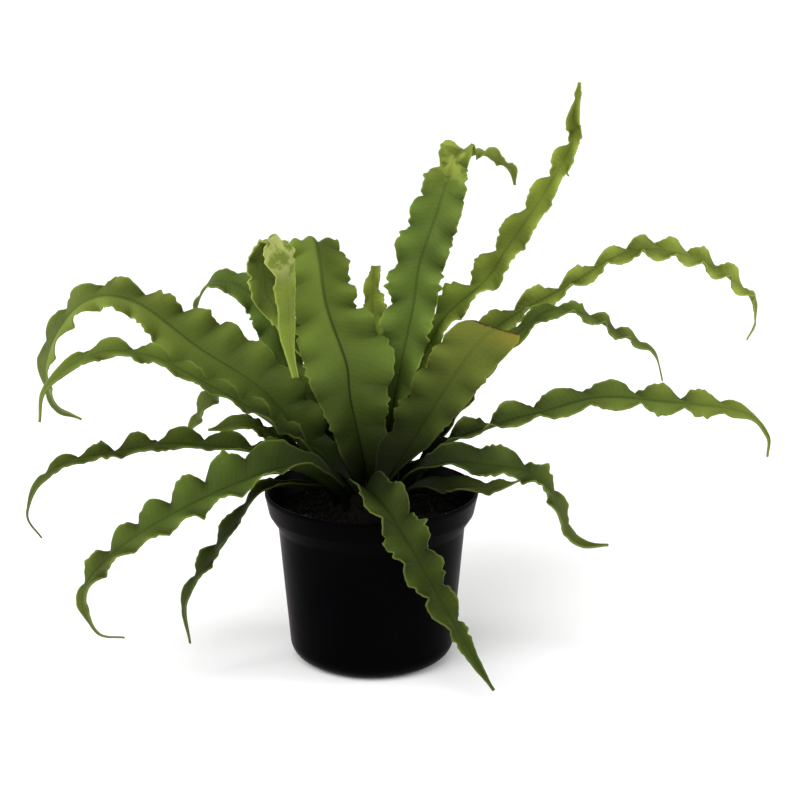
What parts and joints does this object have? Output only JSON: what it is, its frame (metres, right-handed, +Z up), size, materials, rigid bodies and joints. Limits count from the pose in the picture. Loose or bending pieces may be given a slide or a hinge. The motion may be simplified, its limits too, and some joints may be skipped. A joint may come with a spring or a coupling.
{
  "type": "potted fern",
  "caption": "Potted strap-leaved fern with glossy, ruffled fronds arching out on all sides, in a plain round nursery pot with a stepped rim.",
  "frame": {"origin": "middle of the pot's underside, on the surface that the pot stands on", "axes": "+Z up along the pot's axis, -Y towards the viewer of the picture, +X to that viewer's right"},
  "size_m": [0.4431, 0.2825, 0.3042],
  "materials": {
    "leaf_green": "living leaf, smooth and softly glossy, mid green",
    "leaf_young": "younger living leaf, softly glossy, yellow-green",
    "leaf_dark": "older living leaf, softly glossy, dark green",
    "pot_plastic": "thin moulded plastic, near black, satin",
    "potting_mix": "dark, damp potting mix with fibres and bits of bark",
    "crown_fibre": "brown, fibrous rootstock"
  },
  "bodies": {
    "root": {"pot": "pot_plastic", "soil": "potting_mix", "crown": "crown_fibre", "frond_left_great": "leaf_green", "frond_left_narrow": "leaf_green", "frond_left_level": "leaf_green", "frond_left_drooping": "leaf_green", "frond_left_low": "leaf_dark", "frond_back_left_hook": "leaf_dark", "frond_left_small": "leaf_green", "frond_back_left_curled": "leaf_green", "frond_folded_over": "leaf_young", "frond_middle_broad": "leaf_green", "frond_back_middle": "leaf_dark", "frond_tall_middle": "leaf_green", "frond_tall_right": "leaf_young", "frond_right_broad_cut": "leaf_young", "frond_right_arch_high": "leaf_green", "frond_right_arch_small": "leaf_green", "frond_right_level": "leaf_green", "frond_right_low_arch": "leaf_green", "frond_right_inside_rim": "leaf_dark", "frond_front_hanging": "leaf_green", "frond_back_right": "leaf_dark", "frond_back_centre": "leaf_dark", "frond_back_left": "leaf_dark"}
  },
  "joints": []
}
